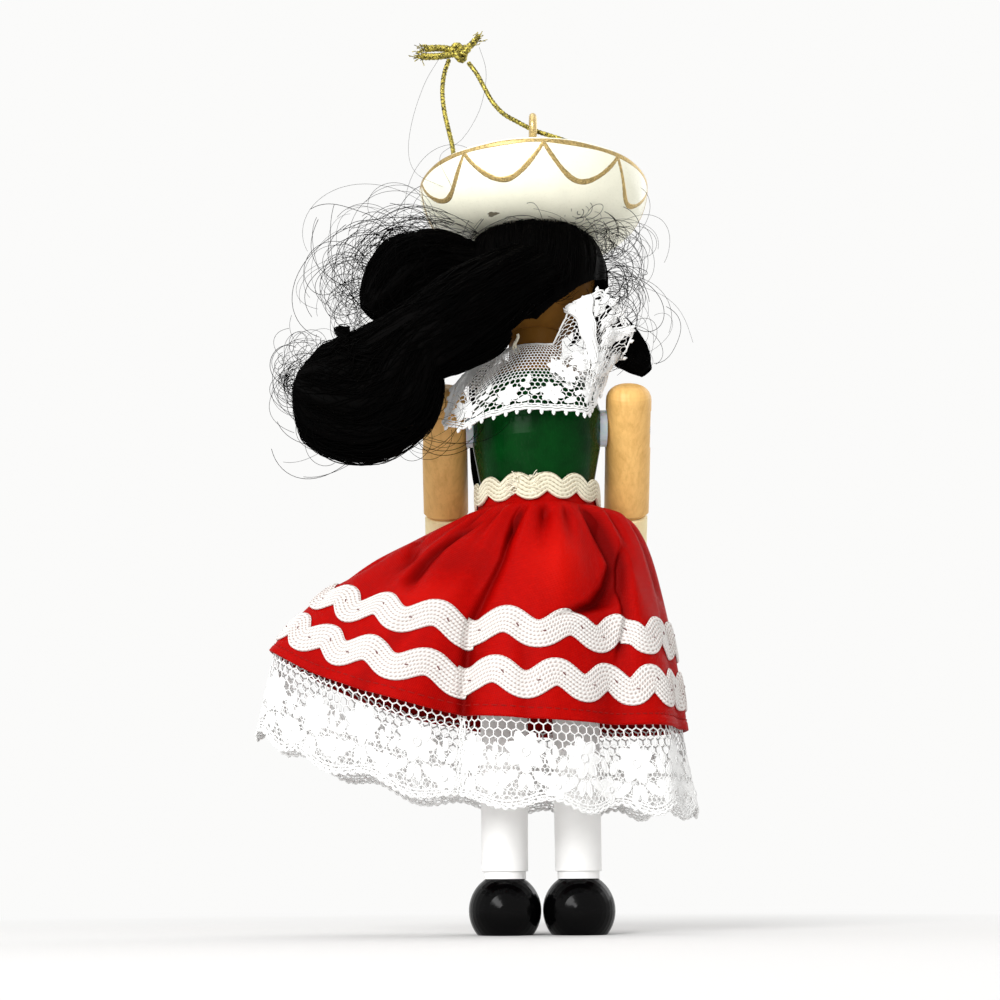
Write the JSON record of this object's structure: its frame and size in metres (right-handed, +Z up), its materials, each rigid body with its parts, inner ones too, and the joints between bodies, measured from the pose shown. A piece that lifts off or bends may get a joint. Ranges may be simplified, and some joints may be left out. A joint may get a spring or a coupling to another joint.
{
  "type": "clothespin doll",
  "caption": "Standing dowel doll with swinging arms, an upturned hat, long hair, a flared cloth skirt with wavy trims and lace, and a cord to hang it by",
  "frame": {"origin": "middle of the doll's box in plan, without its cord, on the plane under the soles", "axes": "+Z up along the body's axis, -Y the way the doll faces, +X the doll's left"},
  "size_m": [0.0679, 0.0384, 0.1504],
  "materials": {
    "bodice_paint": "glossy dark green paint on turned wood, brown above the collar",
    "skin_paint": "satin reddish-brown paint on a turned wood ball",
    "plain_wood": "bare dowel wood",
    "cream_paint": "semi-gloss cream paint with a gold rim line and swags",
    "brass": "brassed wire, slightly dull",
    "gold_cord": "braided metallic thread",
    "black_hair": "long black doll hair",
    "white_lace": "white net lace with flower motifs and a picot edge",
    "cream_trim": "woven rickrack, cream",
    "white_trim": "woven rickrack, white",
    "red_satin": "red satin with soft highlights",
    "white_paint": "white paint on a dowel",
    "black_paint": "glossy black paint on turned wood",
    "steel": "bright brad",
    "clear_plastic": "translucent bluish spacer",
    "tan_wood": "stained dowel with blotchy grain",
    "pale_wood": "pale painted dowel"
  },
  "bodies": {
    "doll_body": {"torso": "bodice_paint", "head": "skin_paint", "neck_dowel": "plain_wood", "hat": "cream_paint", "screw_eye": "brass", "hanging_cord": "gold_cord", "cord_knot": "gold_cord", "hair_cap": "black_hair", "hair_sweep": "black_hair", "hair_left_bunch": "black_hair", "hair_left_curl": "black_hair", "hair_right_lock": "black_hair", "hair_front_lock": "black_hair", "lace_collar": "white_lace", "waist_rickrack": "cream_trim", "skirt": "red_satin", "upper_rickrack": "white_trim", "lower_rickrack": "white_trim", "lace_hem": "white_lace", "leg_left": "white_paint", "leg_right": "white_paint", "shoe_left": "black_paint", "shoe_right": "black_paint", "shoulder_pins": "steel", "shoulder_washers": "clear_plastic"},
    "left_arm": {"upper_arm_left": "tan_wood", "forearm_left": "pale_wood"},
    "right_arm": {"upper_arm_right": "tan_wood", "forearm_right": "pale_wood"}
  },
  "joints": [
    {"name": "left_shoulder", "type": "hinge", "parent": "doll_body", "child": "left_arm", "pos_m": [0.00522, 0, 0.0795], "axis": [-1, 0, 0], "range_deg": [0, 110]},
    {"name": "right_shoulder", "type": "hinge", "parent": "doll_body", "child": "right_arm", "pos_m": [-0.02472, 0, 0.0795], "axis": [-1, 0, 0], "range_deg": [0, 110]}
  ]
}
